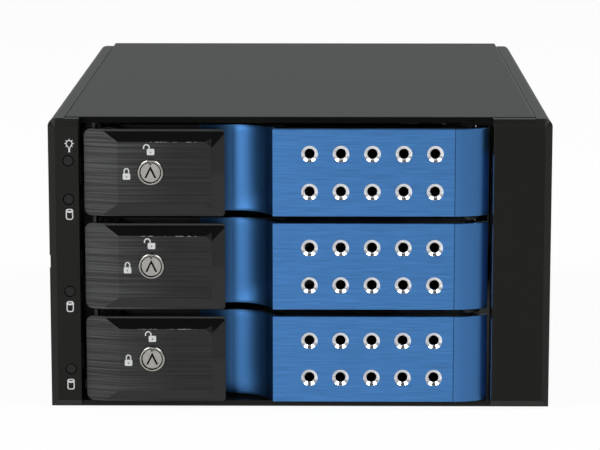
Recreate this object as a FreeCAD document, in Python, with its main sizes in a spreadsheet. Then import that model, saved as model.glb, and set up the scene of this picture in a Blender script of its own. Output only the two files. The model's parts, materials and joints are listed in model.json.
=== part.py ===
import FreeCAD, Part
import math
import os
import Sketcher

# Hot swap drive cage: three drive bays with hinged doors in the space of two 5.25 inch bays.
# Millimetres. X right, Y into the cage, Z up. While drawing, Y = 0 is the front plane of the bezel
# strips; every body is then set back so that the origin is the middle of the bottom.

SIZES = {
    # Casing
    "cage_width": 146.0, "cage_height": 85.6, "full_depth": 199.0, "rear_step": 9.0,
    "sheet": 1.0, "bend_radius": 2.2, "flange_width": 4.5, "cover_gap": 0.2, "lip_height": 9.0,
    "lip_start": 22.0, "rear_lip_length": 9.5,
    # Bezel
    "bezel_overhang": 0.2, "bezel_thickness": 2.4, "bezel_corner": 2.4, "bezel_chamfer": 2.2,
    "bar_front": 5.0, "bar_wall": 0.6, "top_bar": 1.75, "sill": 1.8, "sill_setback": 1.7,
    "left_strip": 9.0, "right_strip": 17.1, "hinge_block_drop": 2.3, "block_depth": 12.0,
    "block_gap": 0.2, "strip_notch_depth": 0.6, "strip_notch_low": 41.5,
    "strip_notch_high": 45.2,
    # Bays and drives
    "bay_count": 3, "bay_margin": 2.65, "first_bay_rise": 0.825, "bay_inset": 14.2,
    "drive_width": 101.6, "drive_stop": 3.7, "drive_gap": 0.4, "shelf_wall": 0.8,
    "shelf_end_gap": 4.0, "guide_front": 15.5, "guide_flange": 5.5, "tab_length": 18.0,
    "tab_gap": 0.1,
    # Doors
    "door_spacing": 2.15, "door_gap_left": 1.5, "door_gap_right": 1.2, "panel_wall": 2.0,
    "scoop_wall": 1.5, "flat_inset": 56.3, "end_length": 9.9, "end_radius": 17.0,
    "end_nose": 0.8, "end_back": 5.2, "scoop_inset": 44.1, "scoop_y": -2.0,
    "scoop_radius": 12.36, "scoop_reach": 9.4, "scoop_rise": 0.7,
    "hole_radius": 1.475, "sink_radius": 2.45, "hole_pitch": 9.11, "hole_inset": 10.7,
    "hole_row": 5.55, "hinge_inset": 5.1, "hinge_y": 6.0, "rod_radius": 1.25,
    "rod_gap": 0.02, "pin_fit": 0.05, "knuckle_radius": 3.0,
    "carrier_plate": 0.9, "carrier_flange": 1.2, "carrier_right_inset": 7.8,
    "carrier_left_inset": 4.7, "carrier_drop": 0.35, "panel_gap": 0.1,
    # Latch lever and its lock
    "latch_width": 40.9, "latch_drop": 0.1, "plateau_rise": 1.3, "corner_left": 2.1,
    "corner_right": 1.0, "plateau_corner": 2.8, "curl_run": 9.9, "curl_radius": 17.5,
    "bevel_top": 2.95, "bevel_land": 0.5, "bevel_right": 3.8, "plate_back": 1.0,
    "plate_lip": 3.4, "plate_lip_back": 2.4,
    "pivot_inset": 8.5, "pivot_y": 4.0, "latch_pin_radius": 1.0, "hub_radius": 2.5,
    "ear_radius": 2.6, "lever_back": 6.8, "lever_inset": 29.2, "lip_wall": 2.0,
    "lever_drop": 1.8, "claw_half": 4.5, "claw_reach": 7.7, "claw_back": 5.9,
    "lock_inset": 20.95, "lock_rise": 0.3, "lock_radius": 3.8, "barrel_radius": 3.1,
    "lock_fit": 0.08, "rim_rise": 0.6, "keyway_depth": 0.9, "cam_length": 8.0, "cam_width": 4.4,
    "cam_thickness": 0.9, "cam_gap": 0.25, "tail_radius": 1.7,
    # Catch springs
    "catch_wall": 0.4, "catch_half": 4.0, "catch_rise": 1.6, "catch_front": 3.6,
    "catch_bump": 6.2, "catch_run": 1.6, "catch_rear": 11.8,
    # Ejector slides
    "crank": 6.0, "crank_pin": 1.0, "fork_gap": 0.3, "prong": 1.1, "slide_wall": 1.0,
    "slide_gap": 0.3, "slide_height": 8.0, "ear_level": -10.6, "slide_tab": 8.0,
    "rivet_radius": 1.5, "rivet_head": 2.6,
    # Backplane, ports and fan
    "board_gap": 2.9, "board_wall": 1.6, "board_left_inset": 6.0, "board_right_inset": 18.0,
    "board_edge": 3.0, "spacer_length": 1.5, "socket_offset": 20.0, "socket_width": 44.0,
    "socket_height": 5.4, "socket_reach": 8.6, "fan_size": 80.0, "fan_depth": 25.0,
    "fan_inset": 47.5, "fan_bore": 38.0, "fan_hub": 16.0, "fan_hole_pitch": 71.5,
    "fan_hole": 2.15, "fan_tip": 36.0, "blades": 7, "fan_shaft": 1.5,
    "window_gap": 4.5, "window_inset": 11.0, "window_edge": 6.0,
    # Side holes of the two bays that the cage fills
    "side_hole_first": 47.4, "side_hole_pitch": 79.25, "side_hole_low": 10.0,
    "side_hole_step": 11.84, "bay_unit": 42.3, "side_hole_radius": 1.25,
    # Indicators
    "lamp_inset": 6.0, "lamp_radius": 1.65, "lamp_gap": 0.25, "lamp_power": 3.45,
    "lamp_top": -7.85, "lamp_middle": -7.5, "lamp_bottom": -3.05, "led_board_front": 18.0,
    "screw_radius": 1.3, "screw_gap": 0.05, "screw_head": 2.5, "head_height": 1.2,
}

doc = FreeCAD.newDocument("DriveCage")
sheet = doc.addObject("Spreadsheet::Sheet", "Sizes")
for row, (name, number) in enumerate(SIZES.items(), start=1):
    sheet.set(f"A{row}", name)
    sheet.set(f"B{row}", str(number))
    sheet.setAlias(f"B{row}", name)
doc.recompute()


class Size:
    """A length that carries its number and the sheet expression that it comes from."""

    def __init__(self, number, text):
        self.number = float(number)
        self.text = text

    def __add__(self, other):
        other = as_size(other)
        return Size(self.number + other.number, f"({self.text} + {other.text})")

    def __radd__(self, other):
        return as_size(other) + self

    def __sub__(self, other):
        other = as_size(other)
        return Size(self.number - other.number, f"({self.text} - {other.text})")

    def __rsub__(self, other):
        return as_size(other) - self

    def __mul__(self, other):
        other = as_size(other)
        return Size(self.number * other.number, f"({self.text} * {other.text})")

    def __rmul__(self, other):
        return as_size(other) * self

    def __truediv__(self, other):
        other = as_size(other)
        return Size(self.number / other.number, f"({self.text} / {other.text})")

    def __neg__(self):
        return Size(-self.number, f"(0 - {self.text})")


def as_size(value):
    if isinstance(value, Size):
        return value
    return Size(value, f"({value!r})")


def root(value):
    """Square root of a size."""
    return Size(math.sqrt(value.number), f"sqrt({value.text})")


def size(name):
    return Size(SIZES[name], f"Sizes.{name}")


def drop_on_circle(radius, run):
    """How far a circle falls away from its tangent after a run along it."""
    return radius - root(radius * radius - run * run)


def bind(item, prop, value):
    item.setExpression(prop, as_size(value).text)


# Sizes worked out from the driving ones
half_width = size("cage_width") / 2
height = size("cage_height")
wall = size("sheet")
bezel_half = half_width + size("bezel_overhang")
opening_left = -bezel_half + size("left_strip")
opening_right = bezel_half - size("right_strip")
opening_low = size("sill")
opening_high = height - size("top_bar")
side_depth = size("full_depth") - size("rear_step")
cover_half = half_width - size("flange_width") - size("cover_gap")
bar_rear = size("bar_front") + size("bar_wall")
cover_front = bar_rear + size("cover_gap")
rear_half = cover_half - wall
set_back = (size("full_depth") + size("head_height") - size("plateau_rise")
            - size("rim_rise")) / 2
bay_pitch = (height - size("bay_margin")) / size("bay_count")
bay_levels = [bay_pitch * (bay + 0.5) + size("first_bay_rise") for bay in range(3)]
bay_half = size("drive_width") / 2 + size("drive_gap")
right_inner = opening_right - size("bay_inset")
left_inner = right_inner - bay_half * 2
bay_centre = right_inner - bay_half
door_half = (bay_pitch - size("door_spacing")) / 2
latch_half = door_half - size("latch_drop") / 2
latch_left = opening_left + size("door_gap_left")
latch_right = latch_left + size("latch_width")
lock_x = opening_left + size("lock_inset")
pivot = (opening_left + size("pivot_inset"), size("pivot_y"))
lever_right = opening_left + size("lever_inset")
lever_half = latch_half - size("lever_drop")
end_right = opening_right - size("door_gap_right")
flat_left = opening_left + size("flat_inset")
flat_right = end_right - size("end_length")
hinge = (end_right - size("hinge_inset"), size("hinge_y"))
scoop_x = opening_left + size("scoop_inset")
carrier_left = opening_left + size("carrier_left_inset")
carrier_right = hinge[0] - size("carrier_right_inset")
scoop_floor = size("scoop_y") + size("scoop_radius")
carrier_front = scoop_floor + size("scoop_wall") + size("panel_gap")
carrier_back = carrier_front + size("carrier_plate")
carrier_half = door_half - size("carrier_drop")
fan_middle = height / 2
fan_rear = size("full_depth") - wall
fan_front = fan_rear - size("fan_depth")
fan_x = -half_width + size("fan_inset")
board_rear = fan_front - size("board_gap")
board_front = board_rear - size("board_wall")
board_left = -half_width + size("board_left_inset")
board_right = half_width - size("board_right_inset")
guide_rear = board_front - size("spacer_length")
drive_rear = guide_rear - size("drive_stop")
window_left = fan_x + size("fan_size") / 2 + size("window_gap")
window_right = half_width - size("window_inset")
lamp_x = -bezel_half + size("lamp_inset")
lamp_levels = [bay_levels[2] + size("lamp_power"), bay_levels[2] + size("lamp_top"),
               bay_levels[1] + size("lamp_middle"), bay_levels[0] + size("lamp_bottom")]
crank_run = size("crank") / math.sqrt(2)
crank = (hinge[0] - crank_run, hinge[1] + crank_run)
slide_travel = 2 * crank_run
side_hole_front = size("bezel_thickness") + size("side_hole_first")

subparts = []


def place(item, x=0, y=0, z=0):
    """Set a finished body where it belongs and list it for writing."""
    bind(item, "Placement.Base.x", x)
    bind(item, "Placement.Base.y", as_size(y) - set_back)
    bind(item, "Placement.Base.z", z)
    subparts.append(item)
    return item


def rectangle(left, low, right, high):
    return [(left, low), (right, low), (right, high), (left, high)]


def add_edge(sketch, start, end):
    """A line, or an arc where the end has a radius: positive turns left, negative turns right."""
    first = FreeCAD.Vector(as_size(start[0]).number, as_size(start[1]).number, 0)
    last = FreeCAD.Vector(as_size(end[0]).number, as_size(end[1]).number, 0)
    if len(end) < 3:
        return sketch.addGeometry(Part.LineSegment(first, last), False), 1, 2
    radius = as_size(end[2]).number
    chord = last - first
    side = FreeCAD.Vector(-chord.y, chord.x, 0).normalize()
    reach = math.sqrt(max(radius * radius - chord.Length * chord.Length / 4, 0))
    centre = (first + last) / 2 + side * math.copysign(reach, radius)
    begin, finish = (first, last) if radius > 0 else (last, first)
    angles = [math.atan2(point.y - centre.y, point.x - centre.x) for point in (begin, finish)]
    if angles[1] < angles[0]:
        angles[1] += 2 * math.pi
    circle = Part.Circle(centre, FreeCAD.Vector(0, 0, 1), abs(radius))
    geometry = sketch.addGeometry(Part.ArcOfCircle(circle, *angles), False)
    limit = sketch.addConstraint(Sketcher.Constraint("Radius", geometry, abs(radius)))
    bind(sketch, f"Constraints[{limit}]", end[2] if radius > 0 else -as_size(end[2]))
    return (geometry, 1, 2) if radius > 0 else (geometry, 2, 1)


def pin_point(sketch, geometry, position, x, y):
    """Fix a point of a sketch at its distances from the origin."""
    for kind, value in (("DistanceX", as_size(x)), ("DistanceY", as_size(y))):
        rule = Sketcher.Constraint(kind, -1, 1, geometry, position, value.number)
        bind(sketch, f"Constraints[{sketch.addConstraint(rule)}]", value)


def draw(sketch, outline):
    """Draw one closed outline, or a circle where it is given as (x, y, radius)."""
    if isinstance(outline, tuple):
        x, y, radius = (as_size(value) for value in outline)
        centre = FreeCAD.Vector(x.number, y.number, 0)
        circle = Part.Circle(centre, FreeCAD.Vector(0, 0, 1), radius.number)
        geometry = sketch.addGeometry(circle, False)
        limit = sketch.addConstraint(Sketcher.Constraint("Radius", geometry, radius.number))
        bind(sketch, f"Constraints[{limit}]", radius)
        pin_point(sketch, geometry, 3, x, y)
        return
    count = len(outline)
    edges = [add_edge(sketch, outline[at], outline[(at + 1) % count]) for at in range(count)]
    for at, (geometry, begin, finish) in enumerate(edges):
        following = edges[(at + 1) % count]
        joined = Sketcher.Constraint("Coincident", geometry, finish, following[0], following[1])
        sketch.addConstraint(joined)
        pin_point(sketch, geometry, begin, outline[at][0], outline[at][1])


class Piece:
    """A body made feature by feature from outlines on the XY, XZ or YZ plane."""

    def __init__(self, label):
        self.body = doc.addObject("PartDesign::Body", label)
        self.body.Label = label
        self.body.AllowCompound = True

    def sketch(self, plane, level, outlines):
        sketch = self.body.newObject("Sketcher::SketchObject", self.body.Name + "_sketch")
        role = plane + "_Plane"
        origin = [item for item in self.body.Origin.OriginFeatures if item.Role == role][0]
        sketch.AttachmentSupport = [(origin, "")]
        sketch.MapMode = "FlatFace"
        bind(sketch, "AttachmentOffset.Base.z", -as_size(level) if plane == "XZ" else level)
        for outline in outlines:
            draw(sketch, outline)
        return sketch

    def feature(self, kind, plane, low, high, outlines, reverse):
        item = self.body.newObject("PartDesign::" + kind, self.body.Name + "_" + kind)
        item.Profile = self.sketch(plane, low, outlines)
        bind(item, "Length", as_size(high) - as_size(low))
        item.Reversed = reverse
        self.body.Tip = item
        return item

    def add(self, plane, low, high, *outlines):
        """Raise outlines from the lower to the higher level along the plane's normal."""
        return self.feature("Pad", plane, low, high, outlines, plane == "XZ")

    def cut(self, plane, low, high, *outlines):
        """Cut outlines out between the two levels."""
        return self.feature("Pocket", plane, low, high, outlines, plane != "XZ")

    def turn(self, outline, axis="V_Axis", plane="XY"):
        """Turn an outline round an axis of its sketch."""
        item = self.body.newObject("PartDesign::Revolution", self.body.Name + "_turned")
        sketch = self.sketch(plane, 0, [outline])
        item.Profile = sketch
        item.ReferenceAxis = (sketch, [axis])
        item.Angle = 360
        self.body.Tip = item
        return item

    def soften(self, kind, amount, chosen):
        """Chamfer or fillet the edges that a test picks."""
        doc.recompute()
        base = self.body.Tip
        names = [
            f"Edge{at}" for at, edge in enumerate(base.Shape.Edges, start=1) if chosen(edge)
        ]
        item = self.body.newObject("PartDesign::" + kind, self.body.Name + "_" + kind)
        item.Base = (base, names)
        bind(item, "Size" if kind == "Chamfer" else "Radius", amount)
        self.body.Tip = item
        return item

    def place(self, x=0, y=0, z=0):
        return place(self.body, x, y, z)


TURNS = {
    "X": FreeCAD.Rotation(FreeCAD.Vector(0, 1, 0), 90),
    "Y": FreeCAD.Rotation(FreeCAD.Vector(1, 0, 0), -90),
    "Z": FreeCAD.Rotation(),
}


def rod(name, axis, radius, x, y, z, length):
    """A cylinder that starts at x, y, z and runs along +X, +Y or +Z."""
    item = doc.addObject("Part::Cylinder", name)
    item.Placement = FreeCAD.Placement(FreeCAD.Vector(), TURNS[axis])
    bind(item, "Radius", radius)
    bind(item, "Height", length)
    for direction, value in (("x", x), ("y", y), ("z", z)):
        bind(item, f"Placement.Base.{direction}", value)
    return item


def block(name, low, high):
    """A box between two corners."""
    item = doc.addObject("Part::Box", name)
    for prop, begin, finish in zip(("Length", "Width", "Height"), low, high):
        bind(item, prop, as_size(finish) - as_size(begin))
    for direction, value in zip("xyz", low):
        bind(item, f"Placement.Base.{direction}", value)
    return item


def fuse(name, items):
    joined = doc.addObject("Part::MultiFuse", name)
    joined.Shapes = items
    return joined


def group(label, items):
    """Separate solids that share one name."""
    gathered = doc.addObject("Part::Compound", label)
    gathered.Label = label
    gathered.Links = items
    return place(gathered)


def screw(name, axis, x, y, z, length, head_first=True):
    """A pan head screw along an axis, from x, y, z towards the positive side."""
    at = {"X": x, "Y": y, "Z": z}
    head = size("head_height")
    shank_start = dict(at)
    head_start = dict(at)
    if head_first:
        shank_start[axis] = as_size(at[axis]) + head
    else:
        head_start[axis] = as_size(at[axis]) + length
    shank = rod(name + "_shank", axis, size("screw_radius"), *shank_start.values(), length)
    cap = rod(name + "_head", axis, size("screw_head"), *head_start.values(), head)
    return fuse(name, [shank, cap])


def lower_shell():
    """Folded floor and sides, with narrow flanges at the top and short lips at the rear."""
    shell = Piece("lower_shell")
    bend = size("bend_radius")
    flange = half_width - size("flange_width")
    shell.add("XZ", size("bezel_thickness"), side_depth, [
        (-half_width + bend, 0, bend), (half_width - bend, 0), (half_width, bend, bend),
        (half_width, height - bend), (half_width - bend, height, bend), (flange, height),
        (flange, height - wall), (half_width - wall, height - wall), (half_width - wall, wall),
        (-half_width + wall, wall), (-half_width + wall, height - wall),
        (-flange, height - wall), (-flange, height), (-half_width + bend, height),
        (-half_width, height - bend, bend), (-half_width, bend),
    ])
    floor_end = rectangle(-cover_half, 0, cover_half, wall)
    shell.add("XZ", side_depth - wall, size("full_depth"), floor_end)
    lip_from = size("full_depth") - size("rear_lip_length")
    for side in (-1, 1):
        inner, outer = sorted((side * rear_half, side * cover_half), key=lambda x: x.number)
        shell.add("XZ", lip_from, size("full_depth"),
                  rectangle(inner, wall / 2, outer, wall + size("lip_height")))
    holes = [
        (side_hole_front + size("side_hole_pitch") * along,
         size("side_hole_low") + size("side_hole_step") * up + size("bay_unit") * bay,
         size("side_hole_radius"))
        for along in range(2) for up in range(2) for bay in range(2)
    ]
    shell.cut("YZ", -half_width, half_width, *holes)
    screw_hole = size("screw_radius") + size("screw_gap")
    bezel_holes = [(size("block_depth") * 2 / 3, level, size("screw_head") * 0.8)
                   for level in (height * 0.2, height * 0.8)]
    shell.cut("YZ", -half_width, half_width, *bezel_holes)
    rear_hole = (size("full_depth") - size("rear_lip_length") / 2,
                 wall + size("lip_height") / 2, screw_hole)
    shell.cut("YZ", -half_width, half_width, rear_hole)
    floor_holes = [(x, y, screw_hole) for x in flange_rows() for y in flange_screws()]
    floor_holes.append((*hinge, size("rod_radius") + size("rod_gap")))
    shell.cut("XY", -wall, wall * 2, *floor_holes)
    return shell.place()


def flange_rows():
    """Where the fasteners of the two guides stand, left and right."""
    reach = wall + size("guide_flange") / 2
    return [left_inner - reach, right_inner + reach]


def flange_screws():
    return [size("guide_front") + size("tab_length"), guide_rear - size("tab_length")]


def top_cover():
    """Flat cover between the side flanges, with down-turned lips, longer than the sides."""
    cover = Piece("top_cover")
    cover.add("XY", height - wall, height,
              rectangle(-cover_half, cover_front, cover_half, size("full_depth")))
    for side in (-1, 1):
        inner, outer = sorted((side * rear_half, side * cover_half), key=lambda x: x.number)
        cover.add("XY", height - wall - size("lip_height"), height - wall / 2,
                  rectangle(inner, size("lip_start"), outer, size("full_depth")))
    rear_hole = (size("full_depth") - size("rear_lip_length") / 2,
                 height - wall - size("lip_height") / 2,
                 size("screw_radius") + size("screw_gap"))
    cover.cut("YZ", -half_width, half_width, rear_hole)
    return cover.place()


def ring_sector(radius_in, radius_out, middle, span):
    """A slot that follows a ring round the fan's axis."""
    corners = []
    for radius, angles in ((radius_in, (middle - span, middle + span)),
                           (radius_out, (middle + span, middle - span))):
        for angle in angles:
            corners.append((fan_x + radius * math.cos(angle),
                            fan_middle + radius * math.sin(angle)))
    (a, b, c, d) = corners
    return [a, (b[0], b[1], radius_in), c, (d[0], d[1], -radius_out)]


def rear_panel():
    """Rear plate with a finger guard for the fan, a port window and side flanges."""
    panel = Piece("rear_panel")
    panel.add("XZ", fan_rear, size("full_depth"),
              rectangle(-rear_half, wall, rear_half, height - wall))
    for side in (-1, 1):
        inner, outer = sorted((side * (rear_half - wall), side * rear_half),
                              key=lambda x: x.number)
        panel.add("XZ", size("full_depth") - size("rear_lip_length"), size("full_depth"),
                  rectangle(inner, wall, outer, height - wall))
    ring_step = (size("fan_bore") - 6) / 5
    slots = []
    for ring in range(5):
        inner = 5 + ring_step * ring
        outer = inner + ring_step - 1.8
        for sector in range(4):
            middle = math.pi / 2 * sector + math.pi / 4
            rib = 1.6 / inner.number if ring else 1.6 / 5
            slots.append(ring_sector(inner, outer, middle, math.pi / 4 - rib))
    panel.cut("XZ", fan_rear - wall, size("full_depth") + wall, *slots)
    fan_screws = [(fan_x + side * size("fan_hole_pitch") / 2,
                   fan_middle + up * size("fan_hole_pitch") / 2, size("fan_hole"))
                  for side in (-1, 1) for up in (-1, 1)]
    window = rectangle(window_left, size("window_edge"),
                       window_right, height - size("window_edge"))
    panel.cut("XZ", fan_rear - wall, size("full_depth") + wall, window, *fan_screws)
    side_holes = [(size("full_depth") - size("rear_lip_length") / 2, level,
                   size("screw_radius") + size("screw_gap"))
                  for level in (wall + size("lip_height") / 2,
                                height - wall - size("lip_height") / 2)]
    panel.cut("YZ", -half_width, half_width, *side_holes)
    return panel.place()


def front_bezel():
    """Moulded front frame: two wide strips, a set-back top bar and sill, and mounting blocks."""
    bezel = Piece("front_bezel")
    thickness = size("bezel_thickness")
    corner = size("bezel_corner")
    bezel.add("XZ", 0, thickness, [
        (-bezel_half, 0), (bezel_half, 0), (bezel_half, height - corner),
        (bezel_half - corner, height, corner), (-bezel_half + corner, height),
        (-bezel_half, height - corner, corner)])
    bezel.soften("Chamfer", size("bezel_chamfer"), on_front_plane)
    bezel.cut("XZ", -wall, thickness + wall,
              rectangle(opening_left, opening_low, opening_right, height + wall))
    bezel.cut("XZ", -wall, size("sill_setback"),
              rectangle(opening_left, -wall, opening_right, opening_low + wall))
    bar_front = size("bar_front")
    bezel.add("XZ", bar_front, bar_rear, rectangle(
        opening_left - wall, opening_high, opening_right + wall, height))
    inner = half_width - wall - size("block_gap")
    low = wall + size("block_gap")
    high = height - wall - size("block_gap")
    bezel.add("XZ", thickness / 2, size("block_depth"),
              rectangle(-inner, low, opening_left, high),
              rectangle(opening_right, low, inner, high))
    bezel.add("XZ", thickness / 2, bar_rear,
              rectangle(-cover_half, high - wall, opening_left, height),
              rectangle(opening_right, high - wall, cover_half, height))
    ear = size("knuckle_radius")
    block_low = height - size("hinge_block_drop")
    bezel.add("XY", block_low, high, rectangle(
        hinge[0] - ear, bar_front - 0.7, opening_right + wall, hinge[1] + ear))
    bezel.cut("XY", block_low - wall, high + wall / 2,
              (*hinge, size("rod_radius") + size("rod_gap")))
    core = 2.0
    bezel.cut("XZ", thickness, size("block_depth") + wall,
              rectangle(opening_right + core, low + core, inner - core, high - core))
    bezel.cut("XZ", -wall, size("block_depth") + wall,
              *[(lamp_x, level, size("lamp_radius")) for level in lamp_levels])
    notch = size("strip_notch_depth")
    bezel.cut("XZ", -wall, thickness + wall, rectangle(
        -bezel_half - wall, size("strip_notch_low"),
        -bezel_half + notch, size("strip_notch_high")))
    bezel.cut("YZ", -half_width, half_width,
              *[(size("block_depth") * 2 / 3, level, size("screw_radius") + size("screw_gap"))
                for level in (height * 0.2, height * 0.8)])
    return bezel.place()


def on_front_plane(edge):
    """Edges that lie on the front plane."""
    return edge.BoundBox.YMax < 0.01


def shelf_tabs(low, high):
    """Start and end of the tabs along a shelf's sides."""
    length = size("tab_length")
    span = high - low - length
    return [(low + span * share + length / 10, low + span * share + length * 0.9)
            for share in (0.0, 0.5, 1.0)]


def shelf(label, between):
    """Sheet between two bays, tabbed into the guides, with an ear for the hinge rod."""
    plate = Piece(label)
    level = (bay_levels[between] + bay_levels[between + 1]) / 2
    front = size("guide_front")
    rear = guide_rear - size("shelf_end_gap")
    half = size("shelf_wall") / 2
    plate.add("XY", -half, half, rectangle(left_inner, front, right_inner, rear))
    for begin, finish in shelf_tabs(front, rear):
        plate.add("XY", -half, half,
                  rectangle(left_inner - wall, begin, right_inner + wall, finish))
    ear = size("knuckle_radius")
    x, y = hinge
    gap = size("slide_gap")
    plate.add("XY", -half, half, [
        (right_inner - 12, front + wall), (right_inner - 12, front), (x - ear, front - 4),
        (x - ear, y), (x, y - ear, ear), (x + ear, y, ear), (x + ear, front - gap),
        (right_inner - gap, front - gap), (right_inner - gap, front + wall),
    ])
    plate.cut("XY", -half - wall, half + wall, (x, y, size("rod_radius") + size("rod_gap")))
    finger = rectangle(bay_centre - 16, front - 20, bay_centre + 16, front + 9)
    plate.cut("XY", -half - wall, half + wall, finger)
    run = rear - front
    vents = [rectangle(bay_centre - 38 + 20 * column, front + run * 0.23,
                       bay_centre - 26 + 20 * column, front + run * 0.7)
             for column in range(4)]
    plate.cut("XY", -half - wall, half + wall, *vents)
    return plate.place(z=level)


def guide(label, side):
    """Upright plate beside the drives, folded outwards at the top, bottom and rear."""
    plate = Piece(label)
    inner = left_inner if side < 0 else right_inner
    outer = inner + side * wall
    edge = outer + side * size("guide_flange")
    front = size("guide_front")
    rear = guide_rear

    def span(one, other):
        return (one, other) if one.number < other.number else (other, one)

    low_x, high_x = span(inner, outer)
    plate.add("XZ", front, rear, rectangle(low_x, wall, high_x, height - wall))
    low_x, high_x = span(inner, edge)
    plate.add("XZ", front, rear,
              rectangle(low_x, wall, high_x, wall * 2),
              rectangle(low_x, height - wall * 2, high_x, height - wall))
    plate.add("XZ", rear - wall, rear,
              rectangle(low_x, wall + 0.5, high_x, height - wall - 0.5))
    low_x, high_x = span(inner - side * wall, outer + side * wall / 2)
    slots = []
    gap = size("tab_gap")
    for between in range(2):
        level = (bay_levels[between] + bay_levels[between + 1]) / 2
        half = size("shelf_wall") / 2 + gap
        for begin, finish in shelf_tabs(front, rear - size("shelf_end_gap")):
            slots.append(rectangle(begin - gap, level - half, finish + gap, level + half))
    plate.cut("YZ", low_x, high_x, *slots)
    if side > 0:
        windows = [rectangle(drive_rear - slide_travel - 1, centre + size("ear_level") - 0.5,
                             drive_rear + 1.6,
                             centre + size("ear_level") + size("slide_height") + 0.5)
                   for centre in bay_levels]
        plate.cut("YZ", low_x, high_x, *windows)
        rivets = [(y, centre + size("ear_level") + size("slide_height") / 2,
                   size("rivet_radius") + 0.02) for centre in bay_levels for y in rivet_rows()]
        plate.cut("YZ", low_x, high_x, *rivets)
    else:
        led_tab = size("led_board_front") + size("board_wall")
        plate.add("XZ", led_tab, led_tab + wall,
                  rectangle(edge, height * 0.25, outer + wall / 2, height * 0.25 + 6),
                  rectangle(edge, height * 0.7, outer + wall / 2, height * 0.7 + 6))
    holes = [(flange_rows()[0 if side < 0 else 1], y, size("screw_radius") + size("screw_gap"))
             for y in flange_screws()]
    plate.cut("XY", wall / 2, wall * 2.5, *holes)
    row = flange_rows()[0 if side < 0 else 1]
    board_holes = [(row, level, size("screw_radius") + size("screw_gap"))
                   for level in board_rows()]
    plate.cut("XZ", rear - wall * 2, rear + wall, *board_holes)
    return plate.place()


def rivet_rows():
    """Where the slides are held along the right guide."""
    return [drive_rear * 0.35, drive_rear * 0.8]


def board_rows():
    return [size("board_edge") + 5, height - size("board_edge") - 5]


def backplane():
    """Circuit board behind the drives with air slots, fixed to the guides on spacers."""
    board = Piece("backplane_board")
    board.add("XZ", board_front, board_rear,
              rectangle(board_left, size("board_edge"), board_right,
                        height - size("board_edge")))
    slots = []
    for centre in bay_levels:
        middle = centre + 3.5
        for offset in (-46.7, -24.7, -2.7):
            left = bay_centre + offset
            slots.append(rectangle(left, middle - 4.5, left + 18, middle + 4.5))
    board.cut("XZ", board_front - wall, board_rear + wall, *slots)
    holes = [(x, z, size("screw_radius") + size("screw_gap"))
             for x in flange_rows() for z in board_rows()]
    board.cut("XZ", board_front - wall, board_rear + wall, *holes)
    board.place()
    spacers = Piece("board_spacers")
    for x in flange_rows():
        for z in board_rows():
            spacers.add("XZ", guide_rear, board_front, (x, z, 2.6),
                        (x, z, size("screw_radius") + size("screw_gap")))
    spacers.place()
    screws = [screw(f"board_screw_{at}", "Y", x, guide_rear - 2, z,
                    board_rear - guide_rear + 2, head_first=False)
              for at, (x, z) in enumerate((x, z) for x in flange_rows() for z in board_rows())]
    group("board_screws", screws)


def sockets():
    """One drive socket per bay on the front of the backplane, each with a card slot."""
    front = board_front - size("socket_reach")
    part = Piece("drive_sockets")
    half = size("socket_width") / 2
    middle = bay_centre + size("socket_offset")
    for centre in bay_levels:
        level = centre - door_half + 4.2
        tall = size("socket_height") / 2
        part.add("XZ", front, board_front,
                 rectangle(middle - half, level - tall, middle + half, level + tall))
        part.cut("XZ", front - wall, board_front - 2.5,
                 rectangle(middle - half + 3.2, level - 1.5, middle + half - 3.2, level + 1.5))
        part.add("XZ", front + 0.8, board_front - 2,
                 rectangle(middle - half + 4.6, level - 0.2, middle + 1.6, level + 1.0),
                 rectangle(middle + 4.2, level - 0.2, middle + half - 4.6, level + 1.0))
    part.place()


def ports():
    """Data and power connectors on the rear of the backplane."""
    data = Piece("data_ports")
    x = window_left + 3
    for centre in bay_levels:
        data.add("XZ", board_rear, board_rear + 9,
                 rectangle(x, centre - 3.4, x + 16, centre + 3.4))
        data.cut("XZ", board_rear + 2, board_rear + 10,
                 [(x + 2, centre - 1.9), (x + 14, centre - 1.9), (x + 14, centre + 1.9),
                  (x + 11.6, centre + 1.9), (x + 11.6, centre + 0.9), (x + 2, centre + 0.9)])
        data.add("XZ", board_rear + 1.5, board_rear + 8,
                 rectangle(x + 3.2, centre - 1.1, x + 12.6, centre - 0.1))
    data.place()
    power = Piece("power_sockets")
    left = window_right - 30.5
    right = window_right - 9
    for level in (bay_levels[0] + 13.8, bay_levels[1] + 13.8):
        power.add("XZ", board_rear, board_rear + 12,
                  [(left, level - 3.6), (right, level - 3.6), (right, level + 1.8),
                   (right - 2, level + 3.6), (left + 2, level + 3.6), (left, level + 1.8)])
        power.cut("XZ", board_rear + 2, board_rear + 13,
                  [(left + 1, level - 2.6), (right - 1, level - 2.6), (right - 1, level + 1.4),
                   (right - 2.6, level + 2.7), (left + 2.6, level + 2.7), (left + 1, level + 1.4)])
        for contact in range(4):
            power.add("XZ", board_rear + 1.5, board_rear + 10,
                      (left + 3.2 + 5.03 * contact, level, 1.05))
    power.place()


def components():
    """Capacitors, driver chips, the fan header and a small sounder on the backplane."""
    left = window_left
    items = []
    for at, z in enumerate((bay_levels[0] + 3.35, bay_levels[2] - 3.45)):
        items.append(rod(f"capacitor_{at}", "Y", 3.2, left + 25, board_rear, z, 8.5))
    for at, centre in enumerate(bay_levels):
        if at == 1:
            corners = ((left + 22, board_rear, centre - 3.5),
                       (left + 30, board_rear + 1.6, centre + 3.5))
        else:
            corners = ((left - 7, board_rear, centre - 2.5),
                       (left - 1, board_rear + 1.4, centre + 2.5))
        items.append(block(f"driver_chip_{at}", *corners))
    level = bay_levels[1] - 16.3
    items.append(block("fan_header", (left - 3.4, board_rear, level),
                       (left + 0.4, board_rear + 5, level + 8)))
    items.append(rod("sounder", "Y", 4.5, left + 5, board_rear, bay_levels[1] + 13.7, 6))
    group("board_components", items)


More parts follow.
